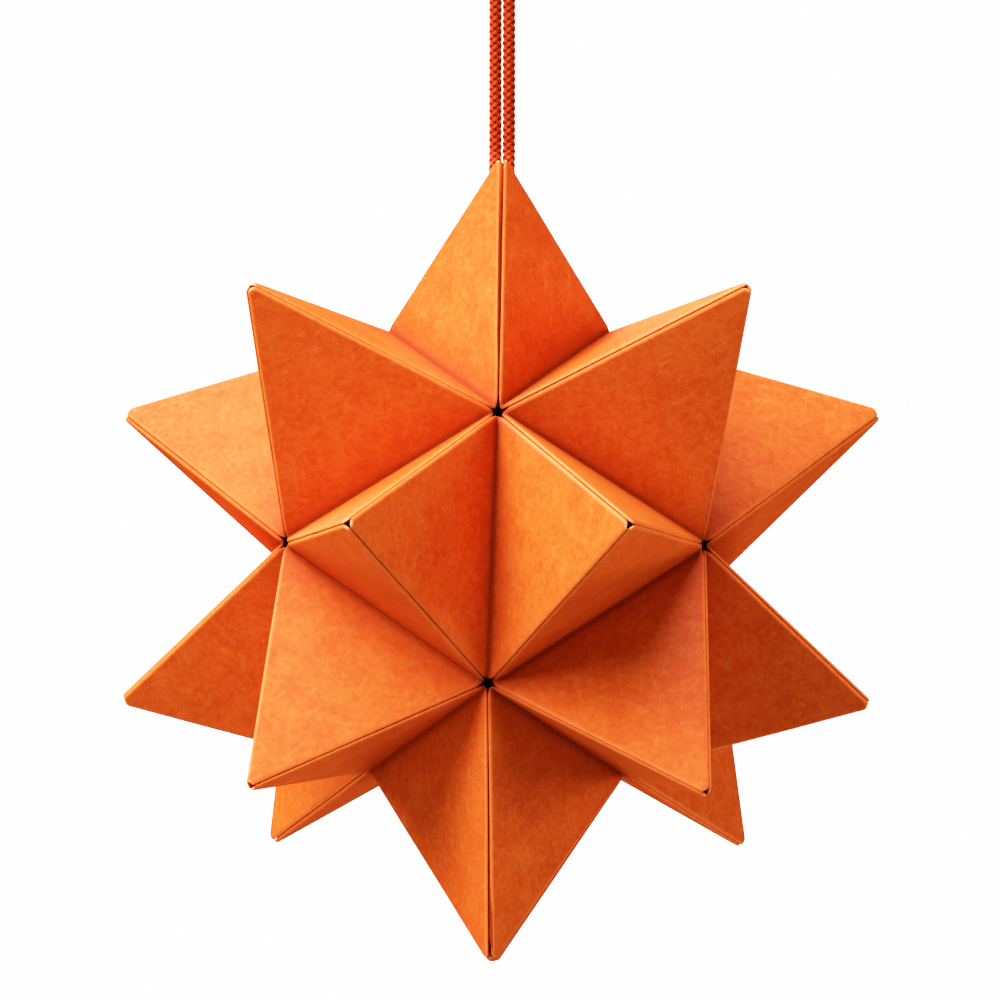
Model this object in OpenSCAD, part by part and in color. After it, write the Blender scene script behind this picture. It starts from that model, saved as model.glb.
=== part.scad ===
// Hanging star with twenty three-sided spikes, folded from thirty paper units and hung on a doubled cord.
// Millimetres. The origin is the point where the cord loop hangs, +Z is up and the front faces -Y.
// Every unit folds along one edge of an icosahedron, and its two panels are sides of two spikes.

/* [Star] */
// Length of the valley crease that each unit folds along
crease_length = 50; // [40:1:80]
// Height of a spike over its base, up to the point that its faces aim at
spike_height = 43.2; // [34:0.2:70]

/* [Paper] */
// Thickness of a panel, which is two plies of paper folded together
panel_thickness = 0.7; // [0.5:0.05:1]
// Thickness of one ply, as in the tabs and the pocket flaps
ply_thickness = 0.35; // [0.2:0.05:0.5]
// Play on each side of a tab in its pocket
tuck_clearance = 0.15; // [0.1:0.05:0.3]
// Open slit between the two folded edges of a ridge
ridge_slit = 0.4; // [0.2:0.05:0.8]

/* [Tabs and pockets] */
// How far a tab reaches into its pocket
tab_reach = 11; // [8:0.5:14]
// Bare ridge between the tab and the level where the rear panel is cut off
tab_tip_gap = 2; // [1:0.5:6]
// Bare ridge between the tab and the valley corner
tab_foot_gap = 9; // [7:0.5:12]
// How far each end of a tab slants in
tab_taper = 5; // [2:0.5:8]
// Height of a pocket flap above the crease
pocket_height = 20; // [14:0.5:24]
// Bare panel between a pocket flap and the ridges
pocket_inset = 5; // [4:0.5:8]

/* [Hanging] */
// Diameter of one strand of the cord
cord_diameter = 2.1; // [1.4:0.1:2.2]
// Diameter of the stopper knot inside the hung spike
knot_diameter = 6.6; // [6:0.1:9]
// Play between the knot and the panels that it bears on
knot_clearance = 0.2; // [0.1:0.05:0.4]
// Depth below the point of the hung spike at which its rear panel is cut off for the cord
rear_cutoff = 10; // [9:0.5:12]

/* [Hidden] */
paper_colour = [0.89, 0.4, 0.11];
cord_colour = [0.74, 0.17, 0.03];

// Facets around a rounded panel edge, around a thin ply edge and around the cord
fold_facets = 6;
ply_facets = 4;
cord_sides = 8;
knot_facets = 48;

// Icosahedron: the golden ratio, its radii at a crease and at a face, and the lean of a tip from a crease
golden = (1 + sqrt(5)) / 2;
crease_radius = crease_length * golden / 2;
face_radius = crease_length * golden * golden / (2 * sqrt(3));
tip_radius = face_radius + spike_height;
tip_lean = acos(face_radius / crease_radius);

// One panel: a triangle that rises from the crease to the tip of its spike
panel_run = tip_radius * sin(tip_lean);
panel_rise = tip_radius * cos(tip_lean) - crease_radius;
panel_slope = atan2(panel_rise, panel_run);
panel_height = norm([panel_run, panel_rise]);
foot_angle = atan2(panel_height, crease_length / 2);
ridge_length = norm([panel_height, crease_length / 2]);

// One spike: the slope of its faces from its axis, and the angle between two faces at a ridge
spike_half_angle = atan2(crease_length / (2 * sqrt(3)), spike_height);
ridge_angle = acos(pow(cos(spike_half_angle), 2) / 2 - pow(sin(spike_half_angle), 2));

// Depth of each layer's middle behind the outer face of the panel that it lies in or behind
panel_depth = panel_thickness / 2;
tab_depth = panel_thickness + tuck_clearance + ply_thickness / 2;
tab_inner_depth = tab_depth + ply_thickness / 2;
pocket_depth = tab_inner_depth + tuck_clearance + ply_thickness / 2;

// Insets of a panel's two edges from the sharp ridge: the edge that folds into a tab, and the plain one
tab_inset = (tab_depth + panel_depth * cos(ridge_angle)) / sin(ridge_angle);
tab_root = tab_inset * cos(ridge_angle) + panel_depth * sin(ridge_angle);
edge_pitch = panel_thickness + ridge_slit;
plain_inset = tab_root + sqrt(max(0, pow(edge_pitch, 2) - pow(tab_depth - panel_depth, 2)));

// Heights up the panel of its blunt tip and of the cut that lets the cord out
tip_w = panel_height * (1 - (tab_inset + plain_inset) / (crease_length * sin(foot_angle)));
cutoff_w = panel_height * (1 - rear_cutoff / spike_height);

// Ends of a tab, measured up the ridge from the valley corner
tab_foot = tab_foot_gap;
tab_top = ridge_length * (1 - rear_cutoff / spike_height) - tab_tip_gap;

// Corners of the icosahedron, turned so that one face looks straight up, and the thirty creases between them
corners = [
    for (s = [-1, 1], t = [-1, 1])
        each [turned([0, s * golden, t]), turned([t, 0, s * golden]), turned([s * golden, t, 0])]
];
corner_pitch = 2;
creases = [
    for (i = [0:len(corners) - 2], j = [i + 1:len(corners) - 1])
        if (abs(norm(corners[i] - corners[j]) - corner_pitch) < 0.01) [corners[i], corners[j]]
];

// Route of one strand, from the flat of the knot up to the loop, measured from the hung spike's point
strand = [
    [-1.3, 1.3, -11.8],
    [-1.3, 1.3, -10],
    [-1.3, 1.7, -8],
    [-1.3, 2.6, -6],
    [-1.3, 3.9, -4],
    [-1.3, 4.9, -2],
    [-1.3, 5.2, 0],
    [-1.3, 5.2, 10],
    [-1.3, 5.2, 20],
    [-1.3, 5.2, 31],
    [-1.5, 5.2, 35],
    [-2.2, 5.2, 38.5],
    [-3.2, 5.2, 42],
    [-4.3, 5.2, 45.5],
    [-5, 5.2, 49],
    [-5.1, 5.2, 51.9],
    [-4.4, 5.2, 54.5],
    [-2.6, 5.2, 56.3]
];
loop_top = [0, 5.2, 57];
route = concat(strand, [loop_top], [for (i = [len(strand) - 1:-1:0]) mirrored(strand[i])]);
hang_point = loop_top - [0, 0, cord_diameter / 2];

// The knot sits as high in the hung spike as its panels allow
knot_drop = (knot_diameter / 2 + panel_thickness + knot_clearance) / sin(spike_half_angle);

function unit_name(i) = str("folded_unit_", i < 9 ? "0" : "", i + 1);

function unit_vector(v) = v / norm(v);

function mirrored(p) = [-p.x, p.y, p.z];

// Turns an icosahedron that stands on an edge until a face looks up, with a corner of that face in front
function turned(v) = [
    v.x,
    v.y * cos(tip_lean) + v.z * sin(tip_lean),
    v.z * cos(tip_lean) - v.y * sin(tip_lean)
];

// Height up the panel of the line where a layer at this depth crosses to the other panel
function crease_w(depth) = -depth * tan(panel_slope);

// Half width of a panel at a height, less an inset from the ridge
function half_width(w, inset) = crease_length / 2 * (1 - w / panel_height) - inset / sin(foot_angle);

function panel_outline(top_w) = let (foot_w = crease_w(panel_depth)) [
    [-half_width(foot_w, plain_inset), foot_w],
    [half_width(foot_w, tab_inset), foot_w],
    [half_width(top_w, tab_inset), top_w],
    [-half_width(top_w, plain_inset), top_w]
];

function pocket_outline() = let (foot_w = crease_w(pocket_depth)) [
    [-half_width(foot_w, pocket_inset), foot_w],
    [half_width(foot_w, pocket_inset), foot_w],
    [half_width(pocket_height, pocket_inset), pocket_height],
    [-half_width(pocket_height, pocket_inset), pocket_height]
];

function tab_outline() = [
    [tab_foot, tab_root],
    [tab_top, tab_root],
    [tab_top - tab_taper, tab_root + tab_reach],
    [tab_foot + tab_taper, tab_root + tab_reach]
];

// A bead at a corner of a plate, as thick as the plate
module corner_bead(place, thickness, facets) {
    translate(place)
        sphere(d = thickness / cos(180 / facets), $fn = facets);
}

// A flat plate with rounded edges, its middle at a depth behind the outer face
module plate(outline, depth, thickness, facets) {
    hull()
        for (corner = outline)
            corner_bead([corner.x, corner.y, -depth], thickness, facets);
}

// Where the plies of panel and pocket are pinched together along the crease
module crease_pinch() {
    pinch_reach = half_width(crease_w(pocket_depth), pocket_inset);
    hull()
        for (depth = [panel_depth, pocket_depth], side = [-1, 1])
            corner_bead([side * pinch_reach, crease_w(depth), -depth], ply_thickness, ply_facets);
}

// The plane of the neighbouring panel, from the valley corner up the ridge that the two panels share
module neighbour_plane() {
    translate([crease_length / 2, 0, 0])
        rotate([0, 0, 180 - foot_angle])
            rotate([-ridge_angle, 0, 0])
                children();
}

// One half of a unit: a panel, its pocket flap, and the tab that tucks behind the next panel of the spike
module unit_half(top_w) {
    rotate([panel_slope, 0, 0]) {
        plate(panel_outline(top_w), panel_depth, panel_thickness, fold_facets);
        plate(pocket_outline(), pocket_depth, ply_thickness, ply_facets);
        crease_pinch();
        neighbour_plane()
            plate(tab_outline(), -tab_depth, ply_thickness, ply_facets);
    }
}

// The cut in the rear panel of the hung spike is the one thing that sets a unit apart from the rest
function half_top(out, tip) = tip.z > 0.99 && out.y > 0 && abs(out.x) < 0.01 ? cutoff_w : tip_w;

// One unit on its crease, with its crease along local X and the way out of the star along local Z
module folded_unit(crease) {
    out = unit_vector(crease[0] + crease[1]);
    along = unit_vector(crease[1] - crease[0]);
    across = cross(out, along);
    place = out * crease_radius - [0, 0, tip_radius] - hang_point;
    color(paper_colour)
        multmatrix([
            [along.x, across.x, out.x, place.x],
            [along.y, across.y, out.y, place.y],
            [along.z, across.z, out.z, place.z],
            [0, 0, 0, 1]
        ])
            for (side = [1, -1])
                rotate([0, 0, side > 0 ? 0 : 180])
                    unit_half(half_top(out, out * cos(tip_lean) + side * across * sin(tip_lean)));
}

// The stopper knot, with a flat on top where the two strands leave it
module cord_knot() {
    color(cord_colour)
        translate(-hang_point)
            difference() {
                translate([0, 0, -knot_drop])
                    sphere(d = knot_diameter, $fn = knot_facets);
                translate([-knot_diameter, -knot_diameter, strand[0].z])
                    cube(2 * knot_diameter);
            }
}

// Direction of the cord at a point of its route
function route_heading(i) = unit_vector(route[min(i + 1, len(route) - 1)] - route[max(i - 1, 0)]);

// One ring of the cord's surface, square to its route
function cord_ring(i) =
    let (
        heading = route_heading(i),
        back = [0, 1, 0],
        first = unit_vector(back - heading * (back * heading)),
        second = cross(heading, first)
    )
    [
        for (k = [0:cord_sides - 1])
            let (turn = (k + 0.5) * 360 / cord_sides)
            route[i] + cord_diameter / 2 * (cos(turn) * first + sin(turn) * second)
    ];

// The doubled cord: up one strand, over the loop and down the other
module cord_loop() {
    rings = len(route);
    last = (rings - 1) * cord_sides;
    skin = [for (i = [0:rings - 1]) each cord_ring(i)];
    walls = [
        for (i = [0:rings - 2], k = [0:cord_sides - 1])
            let (a = i * cord_sides + k, b = i * cord_sides + (k + 1) % cord_sides)
            each [[a, a + cord_sides, b], [b, a + cord_sides, b + cord_sides]]
    ];
    ends = [
        [for (k = [0:cord_sides - 1]) k],
        [for (k = [cord_sides - 1:-1:0]) last + k]
    ];
    color(cord_colour)
        translate(-hang_point)
            polyhedron(points = skin, faces = concat(walls, ends));
}

for (i = [0:len(creases) - 1])
    folded_unit(creases[i]);
cord_knot();
cord_loop();
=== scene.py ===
"""Looks of a hanging folded paper star: thirty folded units, a doubled braided cord and its stopper knot.

Sizes are held in millimetres and become metres in the meshes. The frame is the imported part's own: the origin
is the point where the cord loop hangs, +Z is up and the front of the star faces -Y.
"""

from __future__ import annotations

import logging
import math
from dataclasses import dataclass, field
from enum import Enum
from itertools import combinations, product

import bpy
import numpy as np
from mathutils import Matrix, Vector

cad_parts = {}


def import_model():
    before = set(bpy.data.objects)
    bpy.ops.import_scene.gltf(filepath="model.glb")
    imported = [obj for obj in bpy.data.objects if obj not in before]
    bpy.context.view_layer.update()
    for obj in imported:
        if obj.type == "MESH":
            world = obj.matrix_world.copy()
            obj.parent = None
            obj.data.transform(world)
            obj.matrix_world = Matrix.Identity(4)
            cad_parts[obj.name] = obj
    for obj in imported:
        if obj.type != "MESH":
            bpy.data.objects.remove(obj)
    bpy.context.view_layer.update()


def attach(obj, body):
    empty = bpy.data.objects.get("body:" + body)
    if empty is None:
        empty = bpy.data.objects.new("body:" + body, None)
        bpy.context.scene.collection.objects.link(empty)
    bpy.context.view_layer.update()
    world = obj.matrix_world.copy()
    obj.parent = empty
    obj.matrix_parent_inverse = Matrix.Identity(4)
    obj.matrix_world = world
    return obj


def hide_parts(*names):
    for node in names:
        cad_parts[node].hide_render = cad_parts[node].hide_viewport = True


LOG = logging.getLogger("paper_star")
MM = 0.001
GOLDEN = (1 + math.sqrt(5)) / 2
NEAR = 0.01
ALIKE = 0.999
SIDES = (-1, 1)
Vec = np.ndarray
Pair = tuple[float, float]
Triple = tuple[float, float, float]
Socket = bpy.types.NodeSocket
Material = bpy.types.Material
Piece = bpy.types.Object
SheetRow = tuple[Vec, Vec, Vec, Vec, Vec]


def rotation(axis: str, angle: float) -> Vec:
    """A rotation about one axis as a 3 by 3 array."""
    return np.array(Matrix.Rotation(angle, 3, axis))


def unit(vectors: Vec) -> Vec:
    """The directions of one or more vectors, each of length 1."""
    return vectors / np.linalg.norm(vectors, axis=-1, keepdims=True)


class PanelEnd(Enum):
    """How the top of a panel ends."""

    POINTED = "pointed"
    CUT_OFF = "cut off for the cord"


class Turn(Enum):
    """Which way a yarn winds round its cord."""

    RIGHT = 1
    LEFT = -1


@dataclass(frozen=True)
class StarSizes:
    """Sizes of the star as the part's source gives them, in millimetres."""

    crease_length: float = 50.0
    spike_height: float = 43.2
    panel_thickness: float = 0.7
    ply_thickness: float = 0.35
    tuck_clearance: float = 0.15
    ridge_slit: float = 0.4
    tab_reach: float = 11.0
    tab_tip_gap: float = 2.0
    tab_foot_gap: float = 9.0
    tab_taper: float = 5.0
    pocket_height: float = 20.0
    pocket_inset: float = 5.0
    rear_cutoff: float = 10.0
    hang_point: Triple = (0.0, 5.2, 55.95)

    @property
    def crease_radius(self) -> float:
        """Distance of a crease from the middle of the star."""
        return self.crease_length * GOLDEN / 2

    @property
    def face_radius(self) -> float:
        """Distance of a spike's base from the middle of the star."""
        return self.crease_length * GOLDEN**2 / (2 * math.sqrt(3))

    @property
    def tip_radius(self) -> float:
        """Distance of a spike's sharp point from the middle of the star."""
        return self.face_radius + self.spike_height

    @property
    def tip_lean(self) -> float:
        """Angle between a spike's axis and the way out at its crease, in radians."""
        return math.acos(self.face_radius / self.crease_radius)

    @property
    def panel_run(self) -> tuple[float, float]:
        """How far a panel goes sideways and outward from its crease to the sharp point."""
        run = self.tip_radius * math.sin(self.tip_lean)
        return run, self.tip_radius * math.cos(self.tip_lean) - self.crease_radius

    @property
    def panel_slope(self) -> float:
        """Angle of a panel from the plane across its crease, in radians."""
        run, rise = self.panel_run
        return math.atan2(rise, run)

    @property
    def panel_height(self) -> float:
        """Height of a panel from its crease to the sharp point."""
        return math.hypot(*self.panel_run)

    @property
    def foot_angle(self) -> float:
        """Angle of a panel at its valley corner, in radians."""
        return math.atan2(self.panel_height, self.crease_length / 2)

    @property
    def ridge_length(self) -> float:
        """Length of a ridge from valley corner to sharp point."""
        return math.hypot(self.panel_height, self.crease_length / 2)

    @property
    def ridge_angle(self) -> float:
        """Angle between two panels at a ridge, in radians."""
        half = math.atan2(self.crease_length / (2 * math.sqrt(3)), self.spike_height)
        return math.acos(math.cos(half) ** 2 / 2 - math.sin(half) ** 2)

    @property
    def panel_depth(self) -> float:
        """Depth of a panel's middle behind its outer face."""
        return self.panel_thickness / 2

    @property
    def tab_depth(self) -> float:
        """Depth of a tab's middle behind the outer face of the panel that hides it."""
        return self.panel_thickness + self.tuck_clearance + self.ply_thickness / 2

    @property
    def pocket_depth(self) -> float:
        """Depth of a pocket flap's middle behind its panel's outer face."""
        return self.tab_depth + self.tuck_clearance + self.ply_thickness

    @property
    def tab_inset(self) -> float:
        """Inset from the sharp ridge of the panel edge that folds into a tab."""
        angle = self.ridge_angle
        return (self.tab_depth + self.panel_depth * math.cos(angle)) / math.sin(angle)

    @property
    def tab_root(self) -> float:
        """Where a tab starts, measured down the panel that hides it."""
        angle = self.ridge_angle
        return self.tab_inset * math.cos(angle) + self.panel_depth * math.sin(angle)

    @property
    def plain_inset(self) -> float:
        """Inset from the sharp ridge of the panel edge without a tab."""
        pitch = self.panel_thickness + self.ridge_slit
        return self.tab_root + math.sqrt(max(0.0, pitch**2 - (self.tab_depth - self.panel_depth) ** 2))

    @property
    def tip_w(self) -> float:
        """Height up a panel at which its two inset edges meet."""
        spread = self.crease_length * math.sin(self.foot_angle)
        return self.panel_height * (1 - (self.tab_inset + self.plain_inset) / spread)

    @property
    def cutoff_w(self) -> float:
        """Height up the hung spike's rear panel at which it is cut off."""
        return self.panel_height * (1 - self.rear_cutoff / self.spike_height)

    @property
    def centre(self) -> Vec:
        """Middle of the star in the part's frame."""
        return np.array([0.0, 0.0, -self.tip_radius]) - np.array(self.hang_point)

    def half_width(self, w: float, inset: float) -> float:
        """Half width of a panel at a height, less an inset from its ridge."""
        return self.crease_length / 2 * (1 - w / self.panel_height) - inset / math.sin(self.foot_angle)

    def crease_w(self, depth: float) -> float:
        """Height at which a layer at a depth crosses to the other panel."""
        return -depth * math.tan(self.panel_slope)

    @property
    def hung_turn(self) -> Vec:
        """The rotation that sets one spike of a level star straight up."""
        return rotation("X", -self.tip_lean)

    def creases(self) -> list[tuple[Vec, Vec]]:
        """Finds the thirty creases.

        Returns:
            The two ends of each crease, in the order of the part's unit names.
        """
        corners = []
        for s, t in product(SIDES, repeat=2):
            for corner in ((0, s * GOLDEN, t), (t, 0, s * GOLDEN), (s * GOLDEN, t, 0)):
                corners.append(self.hung_turn @ np.array(corner))
        return [(a, b) for a, b in combinations(corners, 2) if abs(np.linalg.norm(a - b) - 2) < NEAR]


@dataclass(frozen=True)
class Viewpoint:
    """The direction that the star is seen from."""

    sizes: StarSizes
    aim: Triple = (-6.63, 0.79, -2.28)

    def axes(self) -> tuple[Vec, Vec, Vec]:
        """The directions of the view.

        Returns:
            The ways to the right, straight ahead and up, in the part's frame.
        """
        turn = Vector(self.aim)
        tilt = np.array(Matrix.Rotation(math.radians(turn.length), 3, turn.normalized()))
        right, ahead, up = tilt @ rotation("X", self.sizes.tip_lean)
        return right, ahead, up


@dataclass(frozen=True)
class HandShift:
    """How far one point of the star sits off the regular star, in millimetres, as seen from the front."""

    toward: Triple
    right: float
    up: float
    back: float = 0.0


@dataclass(frozen=True)
class HandFolding:
    """The unevenness of a star that was folded and put together by hand.

    Each point is named by its direction in a level star: x to the right, y to the rear and z up.
    """

    sizes: StarSizes
    view: Viewpoint
    tips: tuple[HandShift, ...] = (
        HandShift((0, 1 - GOLDEN, GOLDEN), 0.2, 0.85),
        HandShift((-1, -1, 1), -0.91, 1.93, -4.0),
        HandShift((1, -1, 1), 2.52, 2.9, -4.0),
        HandShift((-GOLDEN, 0, GOLDEN - 1), 1.03, 0.16),
        HandShift((GOLDEN, 0, GOLDEN - 1), -1.46, 2.06),
        HandShift((1 - GOLDEN, -GOLDEN, 0), 2.56, -0.71),
        HandShift((GOLDEN - 1, -GOLDEN, 0), -1.22, -0.21),
        HandShift((-GOLDEN, 0, 1 - GOLDEN), 1.79, 1.25, -3.0),
        HandShift((GOLDEN, 0, 1 - GOLDEN), -2.8, 2.22, -3.0),
        HandShift((-1, -1, -1), 0.9, -1.97),
        HandShift((1, -1, -1), -4.55, -1.92, -4.0),
        HandShift((-1, 1, -1), 0.12, -4.13),
        HandShift((1, 1, -1), 0.64, -3.71),
        HandShift((0, 1 - GOLDEN, -GOLDEN), 0.38, -4.3, -3.0),
        HandShift((0, GOLDEN - 1, -GOLDEN), -1.48, -0.52),
        HandShift((1, 1, 1), -2.5, 0.0),
    )
    corners: tuple[HandShift, ...] = (
        HandShift((0, -GOLDEN, 1), 0.69, 0.18),
        HandShift((-GOLDEN, -1, 0), -0.3, 1.14),
        HandShift((GOLDEN, -1, 0), -0.05, 1.6),
        HandShift((0, -GOLDEN, -1), -0.42, -2.32),
        HandShift((-1, 0, GOLDEN), 2.05, 5.0, 2.5),
        HandShift((1, 0, GOLDEN), -3.95, 5.5, 2.5),
    )
    tip_push: float = 0.55

    def moved(self, point: Vec, shifts: tuple[HandShift, ...]) -> Vec:
        """Where a point of the regular star really sits.

        Args:
            point: A tip or corner, from the middle of the star.
            shifts: The shifts of that kind of point.

        Returns:
            The shifted point.
        """
        right, ahead, up = self.view.axes()
        for shift in shifts:
            toward = self.sizes.hung_turn @ np.array(shift.toward)
            if unit(point) @ unit(toward) > ALIKE:
                return point + shift.right * right + shift.up * up + shift.back * ahead
        return point

    def spike(self, first: Vec, second: Vec, heading: Vec) -> Vec:
        """How one spike is set askew.

        Args:
            first: One valley corner of the spike, from the middle of the star.
            second: Another one.
            heading: The direction of the spike's axis.

        Returns:
            A 4 by 3 array that turns points of the regular spike, with a 1 after each, into the real ones.
        """
        third = 3 * self.sizes.face_radius * heading - first - second
        tip = self.sizes.tip_radius * heading
        regular = np.stack([first, second, third, tip])
        corners = [self.moved(corner, self.corners) for corner in (first, second, third)]
        real = np.stack([*corners, self.moved(tip, self.tips) + self.tip_push * heading])
        return np.linalg.solve(np.column_stack([regular, np.ones(4)]), real)


@dataclass
class MeshPlan:
    """Points, faces and surface values that are gathered before one mesh is made."""

    points: list[Vec] = field(default_factory=list)
    faces: list[tuple[int, ...]] = field(default_factory=list)
    values: dict[str, list[Vec]] = field(default_factory=dict)
    count: int = 0

    def add(self, points: Vec, faces: list[tuple[int, ...]], **values: Vec) -> None:
        """Adds one shell.

        Args:
            points: Its corner points in millimetres, one row each.
            faces: Its faces as rows of `points`.
            **values: One number or vector a point, for the material.
        """
        self.faces.extend(tuple(i + self.count for i in face) for face in faces)
        self.points.append(points)
        self.count += len(points)
        for name, value in values.items():
            self.values.setdefault(name, []).append(np.asarray(value, float))

    def make(self, name: str, material: Material, replaced: str) -> Piece:
        """Makes the mesh and gives it to the frame.

        Args:
            name: Name of the piece.
            material: Its finish.
            replaced: The node that the piece stands for.

        Returns:
            The new object, which rides on the star's one body.
        """
        mesh = bpy.data.meshes.new(name)
        points = np.concatenate(self.points) * MM
        mesh.from_pydata(points.tolist(), [], self.faces)
        for key, parts in self.values.items():
            data = np.concatenate(parts)
            kind = "FLOAT" if data.ndim == 1 else "FLOAT_VECTOR"
            layer = mesh.attributes.new(key, kind, "POINT")
            layer.data.foreach_set("value" if data.ndim == 1 else "vector", data.ravel())
        mesh.polygons.foreach_set("use_smooth", [True] * len(mesh.polygons))
        mesh.materials.append(material)
        mesh.update()
        piece = bpy.data.objects.new(name, mesh)
        bpy.context.scene.collection.objects.link(piece)
        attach(piece, "root")
        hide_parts(replaced)
        return piece


class Nodes:
    """Short ways to add and join the nodes of one material."""

    def __init__(self, name: str) -> None:
        """Starts an empty material with a surface shader.

        Args:
            name: Name of the material.
        """
        self.material = bpy.data.materials.new(name)
        self.material.use_nodes = True
        self.tree = self.material.node_tree
        self.tree.nodes.clear()
        self.shader = self.tree.nodes.new("ShaderNodeBsdfPrincipled")
        output = self.tree.nodes.new("ShaderNodeOutputMaterial")
        self.join(self.shader.outputs["BSDF"], output.inputs["Surface"])

    def join(self, source: Socket, target: Socket) -> None:
        """Links an output to an input."""
        self.tree.links.new(source, target)

    def add(self, kind: str, inputs: dict[object, object], **options: str) -> bpy.types.NodeOutputs:
        """Adds one node.

        Args:
            kind: Its kind.
            inputs: What each input takes: a socket, or a plain value that is set on it.
            **options: Its settings.

        Returns:
            The node's outputs.
        """
        node = self.tree.nodes.new(f"ShaderNode{kind}")
        for option, setting in options.items():
            setattr(node, option, setting)
        for key, value in inputs.items():
            if isinstance(value, Socket):
                self.join(value, node.inputs[key])
            else:
                node.inputs[key].default_value = value
        return node.outputs

    def attribute(self, name: str, output: str = "Fac") -> Socket:
        """A value that the mesh holds at its points."""
        return self.add("Attribute", {}, attribute_name=name)[output]

    def place(self) -> Socket:
        """The point's place in the part's frame, in metres."""
        return self.add("TexCoord", {})["Object"]

    def spread(self, vector: Socket, size: Triple, turn: float) -> Socket:
        """Stretches a texture to a size along each axis, and turns it by degrees about the third axis."""
        inputs = {"Vector": vector, "Scale": size, "Rotation": (0.0, 0.0, math.radians(turn))}
        return self.add("Mapping", inputs, vector_type="TEXTURE")["Vector"]

    def noise(self, vector: Socket, scale: float, detail: float = 2.0, rough: float = 0.5) -> Socket:
        """Soft noise, about one half on average, with `scale` waves in each unit of the coordinates."""
        inputs = {"Vector": vector, "Scale": scale, "Detail": detail, "Roughness": rough}
        return self.add("TexNoise", inputs)["Fac"]

    def math(self, operation: str, first: object, second: object = 0.0) -> Socket:
        """One operation on one or two values."""
        return self.add("Math", {0: first, 1: second}, operation=operation)[0]

    def plus(self, first: object, second: object) -> Socket:
        """The sum of two values."""
        return self.math("ADD", first, second)

    def times(self, first: object, second: object) -> Socket:
        """The product of two values."""
        return self.math("MULTIPLY", first, second)

    def rest(self, value: Socket) -> Socket:
        """What a value leaves of 1."""
        return self.math("SUBTRACT", 1.0, value)

    def ramp(self, value: Socket, low: float, high: float) -> Socket:
        """A smooth step from 0 at the low value to 1 at the high one."""
        inputs = {"Value": value, "From Min": low, "From Max": high}
        return self.add("MapRange", inputs, interpolation_type="SMOOTHSTEP")["Result"]

    def span(self, value: Socket, low: float, high: float) -> Socket:
        """Spreads a value from 0 to 1 over another range."""
        return self.add("MapRange", {"Value": value, "To Min": low, "To Max": high})["Result"]

    def mix(self, factor: object, first: object, second: object) -> Socket:
        """Mixes two colours: a factor of 0 gives the first and 1 the second."""
        a, b = (colour if isinstance(colour, Socket) else (*colour, 1.0) for colour in (first, second))
        return self.add("Mix", {"Factor": factor, "A": a, "B": b}, data_type="RGBA")["Result"]

    def scaled(self, colour: Socket, factor: Socket) -> Socket:
        """A colour made lighter or darker by a factor."""
        return self.add("VectorMath", {"Vector": colour, "Scale": factor}, operation="SCALE")["Vector"]

    def part(self, vector: Socket, axis: str) -> Socket:
        """One coordinate of a vector."""
        return self.add("SeparateXYZ", {"Vector": vector})[axis]

    def bump(self, height: Socket, size: Pair, below: Socket | None = None) -> Socket:
        """Fine relief.

        Args:
            height: The relief, from 0 to 1.
            size: Its height in millimetres and its strength.
            below: A coarser relief that it lies on.

        Returns:
            The surface's new direction.
        """
        inputs = {"Height": height, "Distance": size[0] * MM, "Strength": size[1]}
        if below is not None:
            inputs["Normal"] = below
        return self.add("Bump", inputs)["Normal"]

    def finish(self, colour: Socket, roughness: Socket, gloss: float, relief: Socket) -> Material:
        """Gives the shader its values.

        Args:
            colour: Colour of the surface.
            roughness: Roughness of the surface.
            gloss: One strength of the sheen for the whole surface.
            relief: Direction of the surface.

        Returns:
            The material.
        """
        self.join(colour, self.shader.inputs["Base Color"])
        self.join(roughness, self.shader.inputs["Roughness"])
        self.shader.inputs["Specular IOR Level"].default_value = gloss
        self.join(relief, self.shader.inputs["Normal"])
        return self.material


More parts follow.
